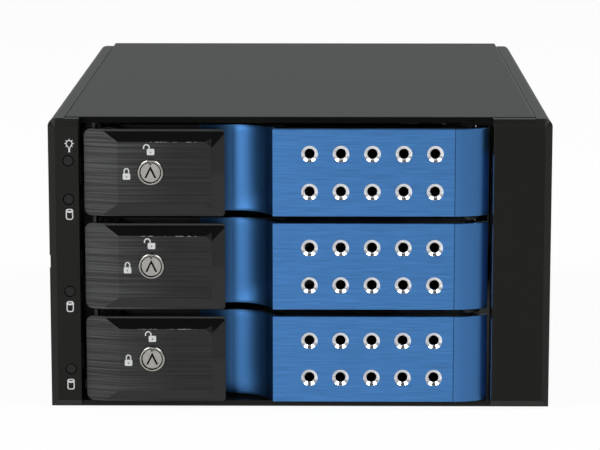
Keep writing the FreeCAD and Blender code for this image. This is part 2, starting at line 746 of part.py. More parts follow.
def fan():
    """Axial fan on the rear panel: frame with a motor mount, and a seven-blade rotor."""
    frame = Piece("fan_frame")
    half = size("fan_size") / 2
    corner = 4.0
    square = [(-half + corner, -half, corner), (half - corner, -half),
              (half, -half + corner, corner),
              (half, half - corner), (half - corner, half, corner), (-half + corner, half),
              (-half, half - corner, corner), (-half, -half + corner)]
    bore = size("fan_bore")
    holes = [(side * size("fan_hole_pitch") / 2, up * size("fan_hole_pitch") / 2,
              size("fan_hole")) for side in (-1, 1) for up in (-1, 1)]
    flange = 3.6
    depth = size("fan_depth")
    frame.add("XZ", 0, flange, square, (0, 0, bore), *holes)
    frame.add("XZ", flange, depth - flange, (0, 0, half - 0.3), (0, 0, bore))
    frame.add("XZ", depth - flange, depth, square, (0, 0, bore), *holes)
    strut = 1.6
    frame.add("XZ", depth - 3, depth, (0, 0, size("fan_hub") - 0.5),
              (0, 0, size("fan_shaft") + size("pin_fit")))
    for low, high in ((-bore - 0.4, -size("fan_hub") + 1), (size("fan_hub") - 1, bore + 0.4)):
        frame.add("XZ", depth - 3, depth, rectangle(low, -strut, high, strut))
        frame.add("XZ", depth - 3, depth, rectangle(-strut, low, strut, high))
    frame.place(x=fan_x, y=fan_front, z=fan_middle)

    rotor = Piece("fan_rotor")
    hub = size("fan_hub")
    hub_depth = depth - 3 - 1.6
    rotor.turn([(0, 1.2), (hub - 2, 1.2), (hub, 3.2, 2), (hub, hub_depth), (hub - 1.4, hub_depth),
                (hub - 1.4, 4), (4, 4), (4, hub_depth), (size("fan_shaft"), hub_depth),
                (size("fan_shaft"), 3.5), (0, 3.5)])
    blade = rotor.body.newObject("PartDesign::AdditiveLoft", "fan_blade")
    sections = []
    lift = 3.2
    for reach, lean, chord in ((hub - 2.2, 52, 14.5), (size("fan_tip"), 66, 17.5)):
        turn = math.radians(lean)
        along = (chord / 2 * math.cos(turn), chord / 2 * math.sin(turn))
        across = (0.55 * math.sin(turn), -0.55 * math.cos(turn))
        middle = depth / 2
        stations = [(u, lift * (1 - u * u)) for u in (-1, -0.5, 0, 0.5, 1)]
        front = [(u, bulge - 1) for u, bulge in stations]
        rear = [(u, bulge + 1) for u, bulge in reversed(stations)]
        outline = [(middle + u * along[0] + v * across[0], u * along[1] + v * across[1])
                   for u, v in front + rear]
        sections.append(rotor.sketch("YZ", reach, [outline]))
    blade.Profile = sections[0]
    blade.Sections = sections[1:]
    blade.Ruled = True
    rotor.body.Tip = blade
    doc.recompute()
    ring = rotor.body.newObject("PartDesign::PolarPattern", "fan_blades")
    ring.Originals = [blade]
    axis = [item for item in rotor.body.Origin.OriginFeatures if item.Role == "Y_Axis"][0]
    ring.Axis = (axis, [""])
    ring.Angle = 360
    bind(ring, "Occurrences", size("blades"))
    rotor.body.Tip = ring
    rotor.place(x=fan_x, y=fan_front, z=fan_middle)

    shaft = rod("fan_shaft", "Y", size("fan_shaft"), 0, 3.5, 0, depth - 4.5)
    shaft.Label = "fan_shaft"
    place(shaft, fan_x, fan_front + 3.5, fan_middle)
    screws = []
    for side in (-1, 1):
        for up in (-1, 1):
            screws.append(screw(f"fan_screw_{side}_{up}", "Y",
                                fan_x + side * size("fan_hole_pitch") / 2,
                                fan_rear - 8, fan_middle + up * size("fan_hole_pitch") / 2,
                                8 + wall, head_first=False))
    group("fan_screws", screws)


def indicators():
    """Lamp board behind the left strip, its lamps, and the rods that carry their light."""
    board = Piece("lamp_board")
    front = size("led_board_front")
    right = left_inner - wall - 0.2
    board.add("XZ", front, front + size("board_wall"),
              rectangle(-half_width + wall + 0.4, 5, right, height - 5))
    board.place()
    lamps = [rod(f"lamp_{at}", "Y", 1.2, lamp_x, front - 1.4, level, 1.4)
             for at, level in enumerate(lamp_levels)]
    group("indicator_lamps", lamps)
    pipes = []
    for at, level in enumerate(lamp_levels):
        radius = size("lamp_radius") - size("lamp_gap")
        face = rod(f"lens_{at}", "Y", radius, lamp_x, 0.2, level, 3)
        stem = rod(f"stem_{at}", "Y", radius - 0.35, lamp_x, 1, level, front - 2.7)
        pipes.append(fuse(f"light_pipe_{at}", [face, stem]))
    group("light_pipes", pipes)


def cage_fasteners():
    """Screws of the rear, the bezel and the guides, and the hinge rod."""
    rear = []
    tip = 0.5
    y = size("full_depth") - size("rear_lip_length") / 2
    levels = (wall + size("lip_height") / 2, height - wall - size("lip_height") / 2)
    for at, level in enumerate(levels):
        rear.append(screw(f"rear_screw_l{at}", "X", -cover_half - size("head_height"), y, level,
                          wall * 2 + tip))
        rear.append(screw(f"rear_screw_r{at}", "X", rear_half - wall - tip, y, level,
                          wall * 2 + tip, head_first=False))
    group("rear_screws", rear)
    front = []
    y = size("block_depth") * 2 / 3
    for at, level in enumerate((height * 0.2, height * 0.8)):
        for side, name in ((-1, "l"), (1, "r")):
            start = -half_width + wall if side < 0 else half_width - wall - 6
            head = -half_width + 0.1 if side < 0 else half_width - wall
            shank = rod(f"bezel_shank_{name}{at}", "X", size("screw_radius"), start, y, level, 6)
            cap = rod(f"bezel_head_{name}{at}", "X", size("screw_head") * 0.8 - 0.1, head, y,
                      level, wall - 0.1)
            front.append(fuse(f"bezel_screw_{name}{at}", [shank, cap]))
    group("bezel_screws", front)
    rivets = []
    for at, (x, y) in enumerate((x, y) for x in flange_rows() for y in flange_screws()):
        shank = rod(f"rivet_shank_{at}", "Z", size("screw_radius"), x, y, 0.2, wall * 2)
        cap = rod(f"rivet_cap_{at}", "Z", size("screw_head"), x, y, wall * 2, size("head_height"))
        rivets.append(fuse(f"guide_rivet_{at}", [shank, cap]))
    group("guide_rivets", rivets)
    pin = rod("hinge_rod", "Z", size("rod_radius"), 0, 0, 0,
              height - wall - size("block_gap") - 0.4)
    pin.Label = "hinge_rod"
    place(pin, *hinge, 0.2)
    held = []
    x = right_inner
    for bay, centre in enumerate(bay_levels):
        for at, y in enumerate(rivet_rows()):
            level = centre + size("ear_level") + size("slide_height") / 2
            reach = wall + size("slide_wall") + size("slide_gap") * 2
            shank = rod(f"slide_shank_{bay}{at}", "X", size("rivet_radius"), x, y, level, reach)
            cap = rod(f"slide_cap_{bay}{at}", "X", size("rivet_head"), x + reach, y, level, 0.8)
            held.append(fuse(f"slide_rivet_{bay}{at}", [shank, cap]))
    group("slide_rivets", held)


def catch_spring(number, centre):
    """Sprung catch on the inner face of the left strip, behind which the claw sits."""
    spring = Piece(f"catch_spring_{number}")
    face = opening_left
    skin = size("catch_wall")
    middle = size("catch_bump")
    run = size("catch_run")
    rise = size("catch_rise")
    spring.add("XY", -size("catch_half"), size("catch_half"), [
        (face, size("catch_front")), (face + skin, size("catch_front")),
        (face + skin, middle - run), (face + rise, middle - 0.25),
        (face + rise, middle + 0.25), (face + skin, middle + run),
        (face + skin, size("catch_rear")), (face, size("catch_rear")),
        (face, middle + run - 0.1), (face + rise - skin * 1.3, middle),
        (face, middle - run + 0.1),
    ])
    spring.place(z=centre)


def door_panel(number, centre):
    """Blue extrusion: flat punched face, rounded right end and deep finger scoop."""
    panel = Piece(f"door_panel_{number}")
    skin = size("panel_wall")
    thin = size("scoop_wall")
    big = size("end_radius")
    small = size("end_nose")
    right = end_right
    knee = right - flat_right - small * 0.55
    drop = drop_on_circle(big, knee)
    outer = size("scoop_radius") + thin
    back_x = scoop_x + root(outer * outer - (skin - size("scoop_y")) * (skin - size("scoop_y")))
    reach = size("scoop_reach")
    inner_end = right - skin * 0.85
    inner_run = inner_end - flat_right
    inner_drop = drop_on_circle(big - skin, inner_run) + skin
    panel.add("XY", -door_half, door_half, [
        (flat_left, 0, -size("scoop_radius")), (flat_right, 0),
        (flat_right + knee, drop, big), (right, drop + small, small),
        (right, size("end_back")), (inner_end, size("end_back")), (inner_end, inner_drop),
        (flat_right, skin, -(big - skin)), (back_x, skin),
        (scoop_x, scoop_floor + thin, outer),
        (scoop_x - reach, scoop_floor + thin - size("scoop_rise")),
        (scoop_x - reach, scoop_floor - size("scoop_rise")), (scoop_x, scoop_floor),
    ])
    first = flat_left + size("hole_inset")
    spots = [(first + size("hole_pitch") * at, row * size("hole_row"))
             for at in range(5) for row in (-1, 1)]
    panel.cut("XZ", -wall, skin + wall, *[(x, z, size("hole_radius")) for x, z in spots])
    sink = size("sink_radius") - size("hole_radius")
    panel.soften("Chamfer", sink, is_hole_rim)
    panel.place(z=centre)


def is_hole_rim(edge):
    """Round edges on the panel's front plane."""
    curve = edge.Curve
    return hasattr(curve, "Radius") and edge.BoundBox.YMax < 0.01 and edge.BoundBox.ZLength > 1


def door_carrier(number, centre):
    """Frame behind the panel: back plate, top and bottom flanges, hinge knuckle, latch ears."""
    part = Piece(f"door_carrier_{number}")
    top = carrier_half
    flange = size("carrier_flange")
    ear = size("ear_radius")
    knuckle = size("knuckle_radius")
    part.add("XZ", carrier_front, carrier_back,
             rectangle(carrier_left, -top, carrier_right, top))
    skin = size("panel_wall")
    left = flat_left + 3.4
    web = [(left, skin), (flat_right - 0.5, skin), (hinge[0] - knuckle, skin + 1.2),
           (hinge[0] - knuckle * 0.2, hinge[1] - knuckle * 0.9),
           (hinge[0] + knuckle * 0.9, hinge[1] + knuckle * 0.2),
           (hinge[0] - knuckle, carrier_back), (left, carrier_back)]
    part.add("XY", top - flange, top, web)
    part.add("XY", -top, -top + flange, web)
    part.add("XY", -top, top, (hinge[0], hinge[1], knuckle))
    hanger = [(pivot[0] + ear, pivot[1]), (pivot[0] + ear, carrier_back),
              (pivot[0] - ear, carrier_back), (pivot[0] - ear, pivot[1])]
    for low, high in ((top - flange, top), (-top, -top + flange)):
        part.add("XY", low, high, hanger)
        part.add("XY", low, high, (pivot[0], pivot[1], ear))
    part.cut("XY", -top - wall, top + wall,
             (pivot[0], pivot[1], size("latch_pin_radius") + 0.02),
             (hinge[0], hinge[1], size("rod_radius") + size("pin_fit")))
    claw_room = size("claw_half") + 1
    air = [rectangle(left + x, -top + 4.5, left + x + 10, top - 4.5) for x in (1.5, 14.5, 27.5)]
    rise = size("lock_rise")
    slot = rectangle(lock_x - 3, rise - 2.6, lock_x + 4.8, rise + size("cam_length") + 0.8)
    notch = rectangle(carrier_right - 3, -top + flange, carrier_right + wall,
                      -top + flange + 3.4)
    relief = rectangle(carrier_left - wall, -claw_room, pivot[0] + 0.6, claw_room)
    part.cut("XZ", carrier_front - wall, carrier_back + wall, slot, notch, relief, *air)
    part.add("XY", -top + flange / 2, -top + flange + 2.4, (*crank, size("crank_pin")))
    part.place(z=centre)


def latch_parts(number, centre):
    """Lever with claw, its face plate, its pivot pin and its return spring."""
    lever = Piece(f"latch_lever_{number}")
    front = size("plate_back")
    back = size("lever_back")
    left = latch_left + size("plate_lip")
    right = latch_right - 0.6
    hub = size("hub_radius")
    half = lever_half
    body_left = pivot[0] + 3.6
    lip = size("lip_wall")
    lever.add("XY", -half, half, [
        (left, front), (right, front), (right, front + lip),
        (lever_right + 2, front + lip + 0.8), (lever_right, back), (body_left, back),
        (pivot[0] - hub, back - 0.2), (pivot[0] - hub, front + 1.6), (left, front + 1.0),
    ])
    nose = pivot[0] - size("claw_reach")
    claw = size("claw_half")
    lever.add("XY", -claw, claw, [
        (pivot[0] - hub + 0.4, pivot[1]), (pivot[0] - 1, pivot[1] + size("claw_back")),
        (nose + 0.9, pivot[1] + size("claw_back")), (nose, pivot[1] + size("claw_back") - 0.9),
        (nose, pivot[1] + 4.3), (nose + 1.9, pivot[1] + 3.1),
        (pivot[0] - hub - 0.7, pivot[1] + 1.4),
    ][::-1])
    lever.cut("XY", -half - wall, half + wall,
              (pivot[0], pivot[1], size("latch_pin_radius") + size("pin_fit")))
    lever.cut("XY", -3.3, 3.3, (pivot[0], pivot[1], 2.4))
    lever.cut("XZ", front - wall, back + wall,
              (lock_x, size("lock_rise"), size("lock_radius") - 0.3))
    lever.cut("XZ", front + 1.6, back + wall,
              rectangle(lock_x + 5.2, -half + 1.6, lever_right - 1.4, half - 1.6),
              rectangle(body_left + 0.2, 4.6, lock_x - 5.2, half - 1.6),
              rectangle(body_left + 0.2, -half + 1.6, lock_x - 5.2, -4.6))
    lever.place(z=centre)
    latch_plate(number, centre)
    pin = rod(f"latch_pin_{number}", "Z", size("latch_pin_radius"), 0, 0, 0,
              latch_half * 2)
    pin.Label = f"latch_pin_{number}"
    place(pin, *pivot, centre - latch_half)
    coil = doc.addObject("Part::Helix", f"latch_coil_{number}")
    coil.Pitch = 1.0
    coil.Height = 5.0
    coil.Radius = 1.75
    wire = doc.addObject("Part::RegularPolygon", f"latch_wire_{number}")
    wire.Polygon = 4
    wire.Circumradius = 0.33
    wire.Placement = FreeCAD.Placement(
        FreeCAD.Vector(1.75, 0, 0), FreeCAD.Rotation(FreeCAD.Vector(1, 0, 0), 90))
    spring = doc.addObject("Part::Sweep", f"latch_spring_{number}")
    spring.Sections = [wire]
    spring.Spine = (coil, ["Edge1"])
    spring.Solid = True
    spring.Frenet = True
    spring.Label = f"latch_spring_{number}"
    place(spring, *pivot, centre - 2.5)


def latch_plate(number, centre):
    """Brushed face plate: raised middle, bevelled top, bottom and right, left end curved back."""
    plate = Piece(f"latch_plate_{number}")
    left = latch_left
    right = latch_right
    half = latch_half
    rise = size("plateau_rise")
    back = size("plate_back")
    lip_back = size("plate_lip_back")
    near = size("corner_left")
    far = size("corner_right")
    plate.add("XZ", 0, lip_back, [
        (left, -half + near), (left + near, -half, near), (right - far, -half),
        (right, -half + far, far), (right, half - far), (right - far, half, far),
        (left + near, half), (left, half - near, near)])
    plate.cut("XZ", back, lip_back + wall,
              rectangle(left + size("plate_lip"), -half - wall, right + wall, half + wall))
    start = left + 1.4
    foot = half - size("bevel_land")
    top = foot - size("bevel_top")
    edge = right - size("bevel_right")
    bevels = plate.body.newObject("PartDesign::AdditiveLoft", f"latch_bevels_{number}")
    sections = [plate.sketch("XZ", level, [[
        (start, -high), (end - corner, -high), (end, -high + corner, corner),
        (end, high - corner), (end - corner, high, corner), (start, high)]])
        for level, end, high, corner in (
            (0, right, foot, far), (-rise, edge, top, size("plateau_corner")))]
    bevels.Profile = sections[0]
    bevels.Sections = sections[1:]
    bevels.Ruled = True
    plate.body.Tip = bevels
    curl = left + size("curl_run")
    radius = size("curl_radius")
    drop = drop_on_circle(radius, size("curl_run")) - rise
    plate.cut("XY", -half - wall, half + wall, [
        (left - wall, drop), (left, drop), (curl, -rise, radius), (curl, -rise - wall),
        (left - wall, -rise - wall)][::-1])
    plate.cut("XZ", -rise - wall, back + wall,
              (lock_x, size("lock_rise"), size("lock_radius")))
    plate.place(z=centre)


def upright_slot(x, low, high, half):
    """A slot outline along the second axis with round ends."""
    return [(x - half, low), (x, low - half, half), (x + half, low, half), (x + half, high),
            (x, high + half, half), (x - half, high, half)]


def lock(number, centre):
    """Key lock: fixed sleeve in the lever, turning barrel with its keyway, and the cam."""
    rise = size("plateau_rise")
    rim = -rise - size("rim_rise")
    back = size("lever_back")
    radius = size("lock_radius") - 0.3
    bore = size("barrel_radius") + size("lock_fit")
    sleeve = Piece(f"lock_sleeve_{number}")
    lip = size("lock_radius")
    sleeve.turn([(bore, rim), (lip - 0.3, rim), (lip, rim + 0.3), (lip, -rise + 0.4),
                 (radius, -rise + 0.8), (radius, back), (bore, back)])
    level = centre + size("lock_rise")
    sleeve.place(x=lock_x, z=level)
    barrel = Piece(f"lock_barrel_{number}")
    face = rim + 0.35
    cam_front = carrier_back + size("cam_gap")
    cam_back = cam_front + size("cam_thickness")
    tail = size("tail_radius")
    solid = size("barrel_radius")
    barrel.turn([(0, face), (solid - 0.3, face), (solid, face + 0.3), (solid, back),
                 (tail, back), (tail, cam_front), (0, cam_front)])
    depth = size("keyway_depth")
    barrel.cut("XZ", rim - wall, face + depth,
               [(-1.75, -1.6), (-1.15, -1.6), (0, 0.75), (1.15, -1.6), (1.75, -1.6), (0, 1.95)])
    barrel.cut("XZ", rim - wall, face + 0.6, rectangle(-0.35, solid - 0.8, 0.35, solid + 0.5))
    barrel.place(x=lock_x, z=level)
    cam = Piece(f"lock_cam_{number}")
    half = size("cam_width") / 2
    reach = size("cam_length") - half
    cam.add("XZ", cam_front, cam_back,
            upright_slot(0, 0, reach, half))
    cam.place(x=lock_x, z=level)


def ejector(number, centre):
    """Slide beside the drive: fork at the door's crank, tab behind the drive."""
    slide = Piece(f"ejector_slide_{number}")
    level = size("ear_level")
    thick = size("slide_wall")
    inner = right_inner + wall + size("slide_gap")
    mouth = size("crank_pin") + size("fork_gap")
    back = crank[1] + mouth + size("prong")
    low_x = hinge[0] - size("crank") - mouth - size("prong")
    high_x = hinge[0] - size("knuckle_radius") - size("slide_gap")
    top = level + size("slide_height")
    rear = drive_rear + 0.3
    slide.add("XY", level, top, rectangle(inner, back, inner + thick, rear + thick))
    slide.add("XY", level, level + thick,
              rectangle(low_x, crank[1] - mouth - size("prong"), high_x, back))
    slide.add("XY", level, top,
              rectangle(right_inner - size("slide_tab"), rear, inner + thick, rear + thick))
    slide.cut("XY", level - wall, level + thick + wall,
              rectangle(low_x + size("prong"), crank[1] - mouth,
                        high_x + wall, crank[1] + mouth))
    gap = size("rivet_radius") + size("slide_gap")
    middle = level + size("slide_height") / 2
    slots = []
    for y in rivet_rows():
        end = y + slide_travel
        slots.append([(y, middle - gap, gap), (end, middle - gap), (end + gap, middle, gap),
                      (end, middle + gap, gap), (y, middle + gap), (y - gap, middle, gap)])
    slide.cut("YZ", inner - wall / 4, inner + thick + wall, *slots)
    slide.place(z=centre)


lower_shell()
top_cover()
rear_panel()
front_bezel()
shelf("lower_shelf", 0)
shelf("upper_shelf", 1)
guide("left_guide", -1)
guide("right_guide", 1)
backplane()
sockets()
ports()
components()
fan()
indicators()
cage_fasteners()
for number, centre in enumerate(bay_levels, start=1):
    catch_spring(number, centre)
    door_panel(number, centre)
    door_carrier(number, centre)
    latch_parts(number, centre)
    lock(number, centre)
    ejector(number, centre)

doc.recompute()
faults = [item.Name for item in doc.Objects if "Invalid" in item.State or "Error" in item.State]
for item in subparts:
    if item.Shape.isNull() or not item.Shape.isValid():
        faults.append(item.Label)
pockets = [item for item in doc.Objects if item.TypeId == "PartDesign::Pocket"]
for item in pockets:
    base = item.BaseFeature.Shape if item.BaseFeature else Part.Shape()
    if item.Shape.isNull() or base.isNull():
        faults.append(item.Name + " has no shape")
    elif item.Shape.Volume > base.Volume - 1e-6:
        faults.append(item.Name + " cuts nothing")
if faults:
    raise RuntimeError("not built: " + ", ".join(faults))

os.makedirs("parts", exist_ok=True)
for item in subparts:
    item.Shape.exportStep(os.path.join("parts", item.Label + ".step"))
print(len(subparts), "nodes written")
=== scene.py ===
import json
import math

import bpy
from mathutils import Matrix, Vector

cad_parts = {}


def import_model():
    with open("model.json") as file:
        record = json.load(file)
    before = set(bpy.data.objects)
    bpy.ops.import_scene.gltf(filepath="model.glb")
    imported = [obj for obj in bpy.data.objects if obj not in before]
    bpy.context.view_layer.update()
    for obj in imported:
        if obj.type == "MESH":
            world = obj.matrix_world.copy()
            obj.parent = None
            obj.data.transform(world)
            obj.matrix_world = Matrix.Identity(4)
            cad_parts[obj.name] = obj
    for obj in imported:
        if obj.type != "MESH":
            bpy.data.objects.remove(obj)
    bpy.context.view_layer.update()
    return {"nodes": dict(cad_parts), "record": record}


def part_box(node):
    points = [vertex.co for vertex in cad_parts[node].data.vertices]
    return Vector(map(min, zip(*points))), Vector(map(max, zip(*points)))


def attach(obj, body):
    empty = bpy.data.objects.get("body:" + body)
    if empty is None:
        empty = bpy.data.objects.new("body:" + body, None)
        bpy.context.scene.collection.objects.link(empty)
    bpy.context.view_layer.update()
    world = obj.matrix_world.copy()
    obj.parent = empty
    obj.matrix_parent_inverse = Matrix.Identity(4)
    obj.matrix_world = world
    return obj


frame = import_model()

# Looks of a three-bay drive cage: brushed blue doors, black latch plates, satin black casing.
# Metres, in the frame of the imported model; MM turns a size in millimetres into metres.
MM = 0.001
BAYS = (1, 2, 3)


def mm(*sizes):
    """Sizes in millimetres, as metres."""
    return [size * MM for size in sizes]


def middle(node):
    """Middle of a node's box."""
    low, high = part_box(node)
    return (low + high) / 2


# Front faces of the doors, of the raised middle of the latch plates and of the left strip
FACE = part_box("door_panel_1")[0].y
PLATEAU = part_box("latch_plate_1")[0].y
STRIP_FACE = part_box("front_bezel")[0].y
DOOR_LEVELS = {bay: middle(f"door_panel_{bay}").z for bay in BAYS}
BAY_PITCH = DOOR_LEVELS[2] - DOOR_LEVELS[1]
LOCK_X = middle("lock_barrel_1").x

# Camera, solved from the cage's corners in the photograph; pixels are those of a frame 600 wide
IMAGE_WIDTH = 600
PIXELS_PER_RADIAN = 2726.24
CAMERA_PLACE = (7.27, -879.46, 194.38)
CAMERA_PITCH = 10.152
CAMERA_YAW = -0.531
NEAREST_SEEN = 0.01


def camera_at(place, pitch, yaw, pixels_per_radian):
    """Level camera tipped down by pitch and turned right by yaw, in degrees."""
    data = bpy.data.cameras.new("Camera")
    camera = bpy.data.objects.new("Camera", data)
    bpy.context.scene.collection.objects.link(camera)
    data.sensor_width = 36
    data.lens = data.sensor_width * pixels_per_radian / IMAGE_WIDTH
    data.clip_start = NEAREST_SEEN
    camera.location = place
    camera.rotation_euler = (math.radians(90 - pitch), 0, math.radians(-yaw))
    bpy.context.scene.camera = camera


def map_range(tree, value, low, high, start, end):
    """An output that goes from start to end as value goes from low to high, held beyond both."""
    node = tree.nodes.new("ShaderNodeMapRange")
    tree.links.new(value, node.inputs[0])
    for socket, number in zip(list(node.inputs)[1:5], (low, high, start, end)):
        socket.default_value = number
    return node.outputs[0]


class Look:
    """A procedural material: a Principled shader and the maps that feed it.

    Positions are in metres, in the frame of the model; edge is the radius in millimetres
    to which sharp edges are softened.
    """

    def __init__(self, name, colour, roughness, metallic=0.0, specular=0.5, edge=0.15):
        self.material = bpy.data.materials.new(name)
        self.material.use_nodes = True
        self.tree = self.material.node_tree
        self.nodes = self.tree.nodes
        self.links = self.tree.links
        self.shader = self.nodes["Principled BSDF"]
        self.place = self.nodes.new("ShaderNodeTexCoord").outputs["Object"]
        self.base = (*colour, 1)
        self.shader.inputs["Base Color"].default_value = self.base
        self.shader.inputs["Roughness"].default_value = roughness
        self.shader.inputs["Metallic"].default_value = metallic
        self.shader.inputs["Specular IOR Level"].default_value = specular
        split = self.nodes.new("ShaderNodeSeparateXYZ")
        self.links.new(self.place, split.inputs[0])
        self.x, self.y, self.z = split.outputs
        self.softened = self.nodes.new("ShaderNodeBevel")
        self.softened.samples = 6
        self.softened.inputs["Radius"].default_value = edge * MM
        self.edge = self.softened.outputs[0]
        self.links.new(self.edge, self.shader.inputs["Normal"])

    def feed(self, socket, value):
        """Set a socket to a number or colour, or link it to another node's output."""
        if isinstance(value, (int, float, tuple)):
            socket.default_value = value
        else:
            self.links.new(value, socket)

    def calc(self, operation, *values):
        """A Math node's result."""
        node = self.nodes.new("ShaderNodeMath")
        node.operation = operation
        for socket, value in zip(node.inputs, values):
            self.feed(socket, value)
        return node.outputs[0]

    def product(self, first, *others):
        """Masks times each other."""
        for other in others:
            first = self.calc("MULTIPLY", first, other)
        return first

    def radius(self, across, up):
        """Distance from where across and up are both 0."""
        squares = [self.calc("MULTIPLY", part, part) for part in (across, up)]
        return self.calc("SQRT", self.calc("ADD", *squares))

    def ramp(self, value, low, high, start=0.0, end=1.0):
        """value from low to high becomes start to end, held beyond both."""
        return map_range(self.tree, value, low, high, start, end)

    def noise(self, along_x, along_y, along_z, detail=2.0):
        """Noise with this many waves to the metre along each axis."""
        stretch = self.nodes.new("ShaderNodeVectorMath")
        stretch.operation = "MULTIPLY"
        self.links.new(self.place, stretch.inputs[0])
        stretch.inputs[1].default_value = (along_x, along_y, along_z)
        node = self.nodes.new("ShaderNodeTexNoise")
        self.links.new(stretch.outputs[0], node.inputs["Vector"])
        node.inputs["Scale"].default_value = 1
        node.inputs["Detail"].default_value = detail
        return node.outputs["Fac"]

    def blend(self, share, first, second):
        """A colour from first to second by share."""
        node = self.nodes.new("ShaderNodeMix")
        node.data_type = "RGBA"
        self.feed(node.inputs[0], share)
        self.feed(node.inputs[6], first)
        self.feed(node.inputs[7], second)
        return node.outputs[2]

    def between(self, value, low, high, soft=0.05 * MM):
        """1 where value lies between low and high, 0 outside, with a short slope."""
        rising = self.ramp(value, low - soft, low + soft)
        falling = self.ramp(value, high - soft, high + soft, 1, 0)
        return self.product(rising, falling)

    def colour(self, value):
        self.feed(self.shader.inputs["Base Color"], value)

    def roughness(self, value):
        self.feed(self.shader.inputs["Roughness"], value)

    def metallic(self, value):
        self.feed(self.shader.inputs["Metallic"], value)

    def edge_radius(self, value):
        self.feed(self.softened.inputs["Radius"], value)

    def bump(self, height, distance):
        """Relief: height from 0 to 1 stands up to distance proud."""
        node = self.nodes.new("ShaderNodeBump")
        node.inputs["Strength"].default_value = 1
        node.inputs["Distance"].default_value = distance
        self.feed(node.inputs["Height"], height)
        self.links.new(self.edge, node.inputs["Normal"])
        self.links.new(node.outputs[0], self.shader.inputs["Normal"])

    def shade(self, light):
        """The base colour times light."""
        return (*(part * light for part in self.base[:3]), 1)

    def grain(self, waves, low, high, depth):
        """Fine even grain in colour and relief, as on paint or moulded plastic."""
        speck = self.noise(waves, waves, waves)
        self.colour(self.blend(speck, self.shade(low), self.shade(high)))
        self.bump(speck, depth)


def door_level(look):
    """Height above the middle of the nearest door."""
    above = look.calc("ADD", look.z, BAY_PITCH / 2 - DOOR_LEVELS[1])
    return look.calc("SUBTRACT", look.calc("FLOORED_MODULO", above, BAY_PITCH), BAY_PITCH / 2)


# Punched holes of a door, in millimetres: first and spacing along the door, height of a row
# from the door's middle, and the countersinks. A cone is fully metallic at its bottom and
# whiter above, to look as in the photograph; it changes between the two heights of
# SINK_BRIGHT, measured up from the hole's middle.
FIRST_HOLE = 2.8
HOLE_PITCH = 9.11
HOLE_ROW = 5.55
HOLE_COUNT = 5
SINK_RADIUS = 2.36
SINK_DEPTH = 0.98
SINK_BRIGHT = (-0.9, -0.4)
BARE_METAL = (0.9, 0.9, 0.91, 1)

# Stretches of a door's face, in millimetres: the flat, the seam at its right, the end beyond,
# and the heights between which its front turns into its upper or lower edge
FLAT_LEFT = -7.9
FLAT_RIGHT = 45.0
SEAM_HALF = 0.14
END_RIGHT = 55.0
FRONT_ENDS = (11.8, 12.4)

# The scoop left of the flat, in millimetres. Its light middle, dark left side and dark foot
# are painted, to bring its shading near the photograph's.
SCOOP_MIDDLE = -15.6
SCOOP_HALF = 4.6
SCOOP_DARK = -22.0
SCOOP_LEFT = -17.8
SCOOP_FOOT = -10.2
FOOT_SOFT = 0.5


def countersinks(look, up):
    """1 on the cones of the holes, where up is the height above the nearer row."""
    pitch = HOLE_PITCH * MM
    along = look.calc("SUBTRACT", look.x, FIRST_HOLE * MM - pitch / 2)
    across = look.calc("SUBTRACT", look.calc("FLOORED_MODULO", along, pitch), pitch / 2)
    cone = look.ramp(look.radius(across, up), *mm(SINK_RADIUS, SINK_RADIUS + 0.08), 1, 0)
    in_row = look.between(look.x, *mm(FIRST_HOLE - HOLE_PITCH / 2,
                                      FIRST_HOLE + HOLE_PITCH * (HOLE_COUNT - 0.5)))
    shallow = look.ramp(look.y, FACE + SINK_DEPTH * MM, FACE + (SINK_DEPTH + 0.05) * MM, 1, 0)
    return look.product(cone, in_row, shallow)


def matte_blue(look, level, speck):
    """Fine matte skin of the scoop and the right end, with the scoop's painted shading and
    painted shade towards the right end.
    """
    skin = look.blend(speck, look.shade(0.8), look.shade(1.15))
    # Painted shade: the skin darkens from the flat's right edge towards the end's right.
    skin = look.blend(look.ramp(look.x, *mm(FLAT_RIGHT, END_RIGHT)), skin, look.shade(0.65))
    from_middle = look.calc("ABSOLUTE", look.calc("SUBTRACT", look.x, SCOOP_MIDDLE * MM))
    front = look.ramp(look.calc("ABSOLUTE", level), *mm(*FRONT_ENDS), 1, 0)
    light = look.product(look.ramp(from_middle, 0, SCOOP_HALF * MM, 0.9, 0), front)
    skin = look.blend(light, skin, look.shade(2.5))
    left_side = look.ramp(look.x, *mm(SCOOP_DARK, SCOOP_LEFT), 0.9, 0)
    foot = look.between(look.x, *mm(SCOOP_FOOT, FLAT_LEFT, FOOT_SOFT))
    dark = look.calc("MAXIMUM", left_side, look.calc("MULTIPLY", foot, 0.8))
    return look.blend(dark, skin, look.shade(0.3))


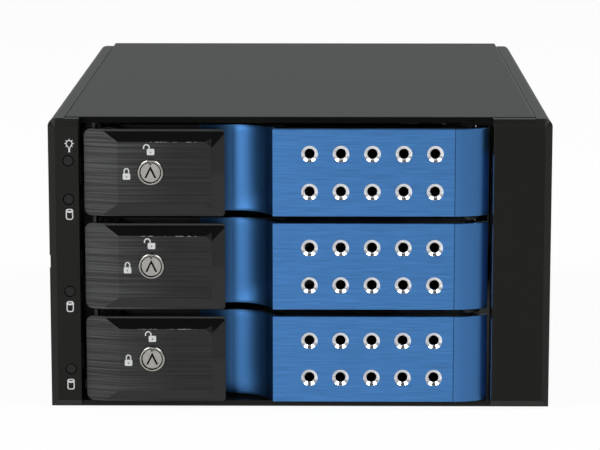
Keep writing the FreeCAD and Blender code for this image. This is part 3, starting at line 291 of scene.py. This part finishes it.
def blue_metal():
    """Blue anodised aluminium: hairlines on the flat face, matte ends, bare countersinks."""
    look = Look("blue_metal", (0.057, 0.187, 0.445), 0.4, 0.9)
    level = door_level(look)
    up = look.calc("SUBTRACT", look.calc("ABSOLUTE", level), HOLE_ROW * MM)
    rim = countersinks(look, up)
    flat = look.between(look.x, *mm(FLAT_LEFT, FLAT_RIGHT))
    seam = look.between(look.x, *mm(FLAT_RIGHT - SEAM_HALF, FLAT_RIGHT + SEAM_HALF))
    hairs = look.noise(110, 110, 4600, 3)
    bands = look.calc("MULTIPLY", look.noise(30, 30, 1100), 0.35)
    lines = look.calc("MULTIPLY", look.calc("ADD", hairs, bands), flat)
    brushed = look.blend(look.ramp(lines, 0.45, 0.9), look.shade(0.8), look.shade(1.24))
    speck = look.noise(4000, 4000, 4000)
    skin = look.blend(flat, matte_blue(look, level, speck), brushed)
    skin = look.blend(seam, skin, look.shade(0.4))
    look.colour(look.blend(rim, skin, BARE_METAL))
    above = look.calc("MULTIPLY", up, look.calc("SIGN", level))
    mirror = look.product(rim, look.ramp(above, *mm(*SINK_BRIGHT), 1, 0))
    look.metallic(look.calc("ADD", look.ramp(rim, 0, 1, 0.9, 0.15),
                            look.ramp(mirror, 0, 1, 0, 0.85)))
    satin = look.ramp(flat, 0, 1, 0.34, 0.4)
    look.roughness(look.calc("MINIMUM", satin, look.ramp(rim, 0, 1, 1, 0.15)))
    look.edge_radius(look.ramp(rim, 0, 1, *mm(0.25, 0.05)))
    relief = look.calc("ADD", look.calc("MULTIPLY", lines, 0.7),
                       look.calc("MULTIPLY", speck, 0.12))
    look.bump(look.calc("MULTIPLY", relief, look.ramp(rim, 0, 1, 1, 0)), 0.012 * MM)
    return look.material


# Face plate of a latch, in millimetres: where its left end begins to curl back and over what
# span round there its painted highlight fades, the raised middle with its bevels, the land above
# them, and the line of painted glints along the top of the raised middle
CURL_START = -52.8
CURL_LIGHT_SPAN = (-8, 16)
PLATEAU_RIGHT = -25.6
PLATEAU_HALF = 9.25
PLATEAU_RISE = 1.3
BEVEL_RUN = 2.95
LAND_START = 12.2
GLINT_LINE_HIGH = 0.15
GLINTS_FROM_CURL = 6
GLINTS_FROM_RIGHT = 3


def latch_metal():
    """Black anodised aluminium: brushed middle and left end, polished bevels, painted light and
    shade.
    """
    look = Look("latch_metal", (0.01, 0.0103, 0.0103), 0.34, 0.0, 0.28, edge=0.1)
    level = door_level(look)
    reach = look.calc("ABSOLUTE", level)
    fall = look.calc("MULTIPLY", look.calc("SUBTRACT", reach, PLATEAU_HALF * MM),
                     PLATEAU_RISE / BEVEL_RUN)
    sunk = look.calc("SUBTRACT", look.y, PLATEAU)
    off_bevel = look.calc("ABSOLUTE", look.calc("SUBTRACT", sunk, fall))
    bevel = look.product(look.between(reach, *mm(PLATEAU_HALF, LAND_START)),
                         look.ramp(off_bevel, *mm(0.02, 0.06), 1, 0))
    beyond = look.ramp(look.x, *mm(PLATEAU_RIGHT - 0.05, PLATEAU_RIGHT + 0.05))
    brushed = look.calc("SUBTRACT", 1, look.calc("MAXIMUM", bevel, beyond))
    # Painted light: the curled left end is paler, most at its far left, fading out to the right.
    left_end = look.ramp(look.x, *mm(*(CURL_START + step for step in CURL_LIGHT_SPAN)), 1, 0)
    # Painted highlight: a pale band along the land above the upper bevel.
    land_highlight = look.ramp(level, *mm(LAND_START - 0.1, LAND_START + 0.1))
    hairs = look.calc("MULTIPLY", look.noise(28, 28, 2600, 2), 0.85)
    bands = look.calc("MULTIPLY", look.noise(12, 12, 1200), 0.15)
    lines = look.calc("ADD", hairs, bands)
    fine = look.ramp(lines, 0.38, 0.64)
    streak = look.blend(fine, look.shade(0.15), look.shade(1.5))
    curl_streaks_and_light = look.blend(fine, look.shade(0.8), look.shade(6.6))
    # Painted light and shade: the lower bevel is lighter, the upper bevel darker.
    polished = look.blend(look.ramp(level, -MM, MM), look.shade(1.2), look.shade(0.45))
    surface = look.blend(brushed, polished, look.blend(left_end, streak, curl_streaks_and_light))
    surface = look.blend(land_highlight, surface, look.shade(2.6))
    # Painted glints: bright dots along the top line of the raised middle.
    dots = look.ramp(look.noise(900, 900, 900), 0.5, 0.62)
    top_line = look.between(level, *mm(PLATEAU_HALF - GLINT_LINE_HIGH, PLATEAU_HALF))
    stretch = look.between(look.x, *mm(CURL_START + GLINTS_FROM_CURL,
                                       PLATEAU_RIGHT - GLINTS_FROM_RIGHT), MM)
    painted_glints = look.product(top_line, dots, stretch)
    look.colour(look.blend(painted_glints, surface, look.shade(30)))
    look.roughness(look.ramp(brushed, 0, 1, 0.1, 0.34))
    look.bump(look.calc("MULTIPLY", lines, brushed), 0.02 * MM)
    return look.material


# Right edge of the cover, and the width of the painted highlight along it in millimetres
COVER_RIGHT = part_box("top_cover")[1].x
COVER_HIGHLIGHT_WIDTH = 0.3


def cover_paint():
    """Charcoal powder coat of the folded cover, with a painted highlight along its right edge.
    """
    look = Look("cover_paint", (0.0175, 0.0215, 0.0192), 0.5, 0.0, 0.12)
    speck = look.noise(2500, 2500, 2500)
    skin = look.blend(speck, look.shade(0.9), look.shade(1.1))
    # Painted highlight: a pale line along the cover's right edge.
    edge = look.between(look.x, COVER_RIGHT - COVER_HIGHLIGHT_WIDTH * MM, COVER_RIGHT)
    look.colour(look.blend(edge, skin, look.shade(4)))
    look.bump(speck, 0.01 * MM)
    return look.material


def casing_paint():
    """Black satin paint of the folded casing."""
    look = Look("casing_paint", (0.0175, 0.0205, 0.0188), 0.48, 0.0, 0.14, edge=0.4)
    look.grain(2500, 0.85, 1.15, 0.008 * MM)
    return look.material


# Bezel, in millimetres: the foot of the bar over the doors, which painted shade darkens, and how
# far behind the doors' faces it lies; its polished inner face right of the doors, with a painted
# blue reflection beside each door up to the height below, which adds to the doors' reflection
# there
BAR_LOW = 83
BAR_BACK = 3
INNER_RIGHT = 56.1
DOOR_HALF = 12
DOOR_REFLECTION_TOP = 75.2
DOOR_REFLECTION_BLUE = (0.045, 0.11, 0.26, 1)


def bezel_plastic():
    """Satin black bezel: polished inner face with painted blue reflections, dull bar with
    painted shade.
    """
    look = Look("bezel_plastic", (0.0105, 0.0108, 0.0093), 0.4, 0.0, 0.1, edge=0.18)
    speck = look.noise(3200, 3200, 3200)
    bar = look.product(look.ramp(look.y, FACE + BAR_BACK * MM, FACE + (BAR_BACK + 0.5) * MM),
                       look.ramp(look.z, *mm(BAR_LOW, BAR_LOW + 0.2)))
    skin = look.blend(speck, look.shade(0.85), look.shade(1.15))
    # Painted shade: the bar in its recess over the doors is darker.
    skin = look.blend(bar, skin, look.shade(0.45))
    look.bump(speck, 0.005 * MM)
    # Painted reflection: the inner face beside each door is blue, as the door would show in it.
    inner = look.between(look.x, *mm(INNER_RIGHT - 0.1, INNER_RIGHT + 0.1))
    off_door = look.calc("ABSOLUTE", door_level(look))
    beside = look.product(look.ramp(off_door, *mm(DOOR_HALF, DOOR_HALF + 0.4), 1, 0),
                          look.ramp(look.z, *mm(DOOR_REFLECTION_TOP, DOOR_REFLECTION_TOP + 0.4), 1, 0))
    look.colour(look.blend(look.product(inner, beside), skin, DOOR_REFLECTION_BLUE))
    dull = look.ramp(bar, 0, 1, 0.4, 0.9)
    look.roughness(look.calc("MINIMUM", dull, look.ramp(inner, 0, 1, 1, 0.06)))
    return look.material


# Zinc-plated parts carry painted shade up to this far behind the doors' faces, in millimetres
PAINTED_SHADE_DEPTH = 11


def zinc():
    """Zinc-plated sheet with faint spangle, with painted shade at the front so that the gaps
    stay dark.
    """
    look = Look("zinc_sheet", (0.3, 0.31, 0.32), 0.42, 0.85)
    spangle = look.noise(300, 300, 300, 4)
    skin = look.blend(spangle, look.shade(0.8), look.shade(1.15))
    # Painted shade: near black at the front, where the gaps between the doors lie in shade.
    front = look.ramp(look.y, FACE + PAINTED_SHADE_DEPTH * MM, FACE + (PAINTED_SHADE_DEPTH + 1) * MM, 1, 0)
    look.colour(look.blend(front, skin, look.shade(0.08)))
    look.roughness(look.ramp(spangle, 0.3, 0.7, 0.36, 0.5))
    look.bump(spangle, 0.004 * MM)
    return look.material


def circuit_green():
    """Solder mask over copper, with darker runs."""
    look = Look("circuit_green", (0.012, 0.11, 0.035), 0.3)
    runs = look.noise(350, 350, 350, 1)
    look.colour(look.blend(look.ramp(runs, 0.48, 0.52), look.shade(0.75), look.shade(1.25)))
    look.bump(runs, 0.02 * MM)
    return look.material


def plain(name, colour, roughness, metallic, waves, depth, specular=0.5):
    """One colour with an even grain, depth millimetres deep."""
    look = Look(name, colour, roughness, metallic, specular)
    look.grain(waves, 0.88, 1.1, depth * MM)
    return look.material


# Lock, in millimetres: height of its axis above the door's middle, how far its rim stands
# before the door's face, reach of the keyway's recess, and radius of the bright face, beyond
# which the rim's outer edge carries painted shade
LOCK_LIFT = 0.3
LOCK_PROUD = 1.5
KEYWAY_REACH = 2.3
LOCK_RADIUS = 3.66


def nickel():
    """Satin nickel with faint turning marks; painted shade in the keyway, the sunk ring and at
    the rim's outer edge.
    """
    look = Look("nickel", (0.345, 0.335, 0.315), 0.28, 1.0, edge=0.12)
    cloud = look.noise(900, 900, 900, 3)
    skin = look.blend(cloud, look.shade(0.85), look.shade(1.12))
    across = look.calc("SUBTRACT", look.x, LOCK_X)
    up = look.calc("SUBTRACT", door_level(look), LOCK_LIFT * MM)
    reach = look.radius(across, up)
    # Painted shade: the keyway nearly black, the sunk ring round the barrel half dark, the rim's
    # outer edge dark.
    sunk = look.ramp(look.y, FACE - LOCK_PROUD * MM, FACE - (LOCK_PROUD - 0.2) * MM)
    keyway = look.ramp(reach, *mm(KEYWAY_REACH, KEYWAY_REACH + 0.1), 0.03, 0.45)
    recess_shade = look.calc("MULTIPLY", sunk, look.calc("SUBTRACT", 1, keyway))
    face = look.ramp(reach, *mm(LOCK_RADIUS, LOCK_RADIUS + 0.05), 1, 0.06)
    light = look.product(look.calc("SUBTRACT", 1, recess_shade), face)
    look.colour(look.blend(light, (0, 0, 0, 1), skin))
    look.roughness(look.ramp(cloud, 0.3, 0.7, 0.24, 0.36))
    look.bump(cloud, 0.003 * MM)
    return look.material


def ink():
    """White printed ink."""
    look = Look("white_ink", (0.66, 0.67, 0.67), 0.5)
    look.grain(3000, 0.94, 1.03, 0.002 * MM)
    return look.material


LOOKS = {
    "painted_steel": casing_paint(),
    "bezel_plastic": bezel_plastic(),
    "zinc_steel": zinc(),
    "circuit_board": circuit_green(),
    "black_board": plain("black_board", (0.012, 0.013, 0.012), 0.35, 0.0, 400, 0.01, 0.3),
    "bright_steel": plain("bright_steel", (0.58, 0.58, 0.57), 0.26, 1.0, 800, 0.004),
    "black_plastic": plain("black_plastic", (0.01, 0.01, 0.011), 0.45, 0.0, 1800, 0.01, 0.25),
    "white_plastic": plain("white_plastic", (0.75, 0.74, 0.7), 0.4, 0.0, 1500, 0.006),
    "component_plastic": plain("component_plastic", (0.02, 0.02, 0.022), 0.5, 0.0, 1500, 0.01),
    "dark_screw": plain("dark_screw", (0.05, 0.05, 0.05), 0.32, 1.0, 900, 0.006),
    "lamp_lens": plain("lamp_lens", (0.62, 0.66, 0.6), 0.25, 0.0, 900, 0.002),
    "smoked_lens": plain("smoked_lens", (0.008, 0.0085, 0.008), 0.3, 0.0, 1200, 0.002, 0.2),
    "spring_steel": plain("spring_steel", (0.2, 0.2, 0.2), 0.34, 1.0, 900, 0.004),
    "blue_aluminium": blue_metal(),
    "black_aluminium": latch_metal(),
    "nickel": nickel(),
}
COVER = cover_paint()
# Painted shade: near-black material for parts that sit in the shaded gaps between the doors.
GAP_SHADE_BLACK = plain("gap_shade_steel", (0.008, 0.008, 0.008), 0.5, 0.0, 900, 0.004, 0.12)
INK = ink()


def paint(node, material):
    node.data.materials.clear()
    node.data.materials.append(material)


slots = {part["node"]: part["material_slot"] for part in frame["record"]["subparts"]}
for name, node in frame["nodes"].items():
    paint(node, LOOKS[slots[name]])
paint(frame["nodes"]["top_cover"], COVER)
# Painted shade: the hinge rod, springs and pins are painted near black so they stay dark in the
# gaps.
for name in ("hinge_rod", *(f"{piece}_{bay}" for bay in BAYS
                            for piece in ("catch_spring", "latch_spring", "latch_pin"))):
    paint(frame["nodes"][name], GAP_SHADE_BLACK)


# Signs printed on the plates and the left strip. Outlines are in millimetres round their middle.

def arc(x, z, radius, start, end, steps=10):
    """Points on a circle from start to end, in degrees."""
    turn = (end - start) / steps
    angles = [math.radians(start + turn * step) for step in range(steps + 1)]
    return [(x + radius * math.cos(angle), z + radius * math.sin(angle)) for angle in angles]


def rounded(left, low, right, high, radius):
    """A rectangle with round corners."""
    return (arc(right - radius, low + radius, radius, -90, 0, 4)
            + arc(right - radius, high - radius, radius, 0, 90, 4)
            + arc(left + radius, high - radius, radius, 90, 180, 4)
            + arc(left + radius, low + radius, radius, 180, 270, 4))


# Thickness of the print; a quarter of it is sunk in the face
INK_DEPTH = 0.04 * MM


def sign(name, loops, x, z, face, body):
    """Filled outlines on a face that looks along -Y; a loop inside another is a hole."""
    curve = bpy.data.curves.new(name, "CURVE")
    curve.dimensions = "2D"
    curve.fill_mode = "BOTH"
    curve.extrude = INK_DEPTH / 2
    for loop in loops:
        spline = curve.splines.new("POLY")
        spline.points.add(len(loop) - 1)
        for point, (right, up) in zip(spline.points, loop):
            point.co = (right * MM, up * MM, 0, 1)
        spline.use_cyclic_u = True
    flat = bpy.data.objects.new(name, curve)
    bpy.context.scene.collection.objects.link(flat)
    mesh = bpy.data.meshes.new_from_object(flat)
    bpy.data.objects.remove(flat)
    piece = bpy.data.objects.new(name, mesh)
    bpy.context.scene.collection.objects.link(piece)
    mesh.materials.clear()
    mesh.materials.append(INK)
    piece.rotation_euler = (math.pi / 2, 0, 0)
    piece.location = (x, face - INK_DEPTH / 4, z)
    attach(piece, body)


def padlock(open_by):
    """Padlock sign; the shackle of an open one is swung aside and raised by open_by."""
    half, high, thick = 1.1, 0.93, 0.38
    body = rounded(-half, -high, half, high, 0.3)
    keyhole = arc(0, -0.1, 0.2, 0, 330, 11)
    if not open_by:
        outer, centre, rise, left_end = 0.82, 0, 0.76, high - 0.1
    else:
        outer, centre, rise, left_end = 1.0, -1.2, open_by, high - 0.05
    inner = outer - thick
    shackle = ([(centre + outer, high - 0.1)] + arc(centre, high + rise, outer, 0, 180)
               + [(centre - outer, left_end), (centre - inner, left_end)]
               + arc(centre, high + rise, inner, 180, 0) + [(centre + inner, high - 0.1)])
    return [body, keyhole], [shackle]


def disk_sign():
    """Drum that stands for a disk."""
    outer = rounded(-1.08, -1.62, 1.08, 1.62, 0.66)
    turns = [math.radians(angle) for angle in range(0, 360, 30)]
    lid = [(0.62 * math.cos(turn), 1.1 + 0.17 * math.sin(turn)) for turn in turns]
    window = ([(0.74, 0.56), (0.4, 0.42), (0, 0.38), (-0.4, 0.42), (-0.74, 0.56)]
              + arc(-0.32, -0.9, 0.42, 180, 270, 4) + arc(0.32, -0.9, 0.42, 270, 360, 4))
    return [outer, lid, window]


def bulb_sign():
    """Lamp bulb with seven rays."""
    loop = [(0.26, -2.0), (0.26, -1.1)]
    for ray in range(-45, 226, 45):
        for aside, reach in ((-15, 0.97), (0, 1.5), (15, 0.97)):
            tip = math.radians(ray + aside)
            loop.append((reach * math.cos(tip), 0.55 + reach * math.sin(tip)))
    loop += [(-0.26, -1.1), (-0.26, -2.0)]
    glass = arc(0, 0.57, 0.7, -30, 210, 12) + [(0, -0.75)]
    return [loop, glass]


# Where the signs stand: right of the origin, and above a door's middle or the underside
LOCKED_SIGN = (-50.2, -0.9)
UNLOCKED_SIGN = (-43.15, 6.3)
OPEN_RISE = 0.4
DISK_SIGNS = ((-67.0, 57.7), (-67.2, 30.3), (-67.3, 7.0))
BULB_SIGN = (-66.8, 77.95)

for bay in BAYS:
    for kind, open_by, (right, up) in (("closed", 0, LOCKED_SIGN),
                                       ("open", OPEN_RISE, UNLOCKED_SIGN)):
        body, shackle = padlock(open_by)
        for part, loops in (("sign", body), ("shackle", shackle)):
            sign(f"{kind}_lock_{part}_{bay}", loops, right * MM, DOOR_LEVELS[bay] + up * MM,
                 PLATEAU, f"latch_{bay}")

for number, (right, up) in enumerate(DISK_SIGNS, start=1):
    sign(f"disk_sign_{number}", disk_sign(), right * MM, up * MM, STRIP_FACE, "cage")
sign("bulb_sign", bulb_sign(), *mm(*BULB_SIGN), STRIP_FACE, "cage")


# Floor, light and camera. FLOOR_GLOW is the share of the floor that is plain white whatever the
# light, for camera, glossy and transmission rays alone.
FLOOR_HALF = 6.0
FLOOR_GLOW = 0.93


def floor():
    """Pale floor that the camera and mirrors see as white, with the object's soft shadow."""
    half = FLOOR_HALF
    mesh = bpy.data.meshes.new("floor")
    mesh.from_pydata([(-half, -half, 0), (half, -half, 0), (half, half, 0), (-half, half, 0)],
                     [], [(0, 1, 2, 3)])
    piece = bpy.data.objects.new("floor", mesh)
    bpy.context.scene.collection.objects.link(piece)
    look = Look("floor_paper", (0.9, 0.9, 0.9), 0.9)
    speck = look.noise(300, 300, 300)
    look.colour(look.blend(speck, look.shade(0.99), look.shade(1.01)))
    rays = look.nodes.new("ShaderNodeLightPath").outputs
    mirrored = look.calc("MAXIMUM", rays["Is Glossy Ray"], rays["Is Transmission Ray"])
    seen = look.calc("MAXIMUM", rays["Is Camera Ray"], mirrored)
    glow = look.nodes.new("ShaderNodeEmission")
    glow.inputs["Strength"].default_value = 1
    mix = look.nodes.new("ShaderNodeMixShader")
    look.feed(mix.inputs[0], look.calc("MULTIPLY", seen, FLOOR_GLOW))
    look.links.new(look.shader.outputs[0], mix.inputs[1])
    look.links.new(glow.outputs[0], mix.inputs[2])
    look.links.new(mix.outputs[0], look.nodes["Material Output"].inputs["Surface"])
    paint(piece, look.material)


def lamp(name, place, aim, size, power):
    """Soft lamp of a size in metres and a power in watts."""
    data = bpy.data.lights.new(name, "AREA")
    data.shape = "RECTANGLE"
    data.size, data.size_y = size
    data.energy = power
    piece = bpy.data.objects.new(name, data)
    bpy.context.scene.collection.objects.link(piece)
    piece.location = place
    piece.rotation_euler = (Vector(aim) - Vector(place)).to_track_quat("-Z", "Y").to_euler()


# Strength of the surround: from one direction's share of the axis to another's, and the
# strengths there. Along Y it grows from before the object to behind it; along Z it falls.
SURROUND_Y = (-0.8, 0.6, 0.05, 0.75)
SURROUND_Z = (0.4, 0.9, 1, 0.3)
SURROUND_COLOUR = (0.97, 0.99, 0.98, 1)


def world():
    """Soft surround: bright low behind, dim overhead and before the object."""
    surround = bpy.data.worlds.new("surround")
    bpy.context.scene.world = surround
    surround.use_nodes = True
    tree = surround.node_tree
    split = tree.nodes.new("ShaderNodeSeparateXYZ")
    tree.links.new(tree.nodes.new("ShaderNodeTexCoord").outputs["Generated"], split.inputs[0])
    strength = tree.nodes.new("ShaderNodeMath")
    strength.operation = "MULTIPLY"
    tree.links.new(map_range(tree, split.outputs["Y"], *SURROUND_Y), strength.inputs[0])
    tree.links.new(map_range(tree, split.outputs["Z"], *SURROUND_Z), strength.inputs[1])
    background = tree.nodes["Background"]
    background.inputs["Color"].default_value = SURROUND_COLOUR
    tree.links.new(strength.outputs[0], background.inputs["Strength"])


# Name, place, aim, size and power of each lamp
LAMPS = (
    ("upper_left", (-1.0, -0.25, 1.35), (0, 0, 0), (0.8, 0.8), 15),
    ("upper_right", (1.0, -0.25, 1.35), (0, 0, 0), (0.8, 0.8), 15),
    ("front_key", (-0.7, -1.43, 0.2), (0, 0, 0.04), (0.8, 0.4), 6.8),
    ("left_fill", (-0.95, -1.3, 0.45), (0, 0, 0.05), (0.8, 0.6), 0.5),
    ("right_fill", (1.15, -1.1, 0.35), (0, 0, 0.05), (1.2, 0.8), 1),
)

floor()
world()
for row in LAMPS:
    lamp(*row)
camera_at(mm(*CAMERA_PLACE), CAMERA_PITCH, CAMERA_YAW, PIXELS_PER_RADIAN)
bpy.context.scene.view_settings.view_transform = "Standard"
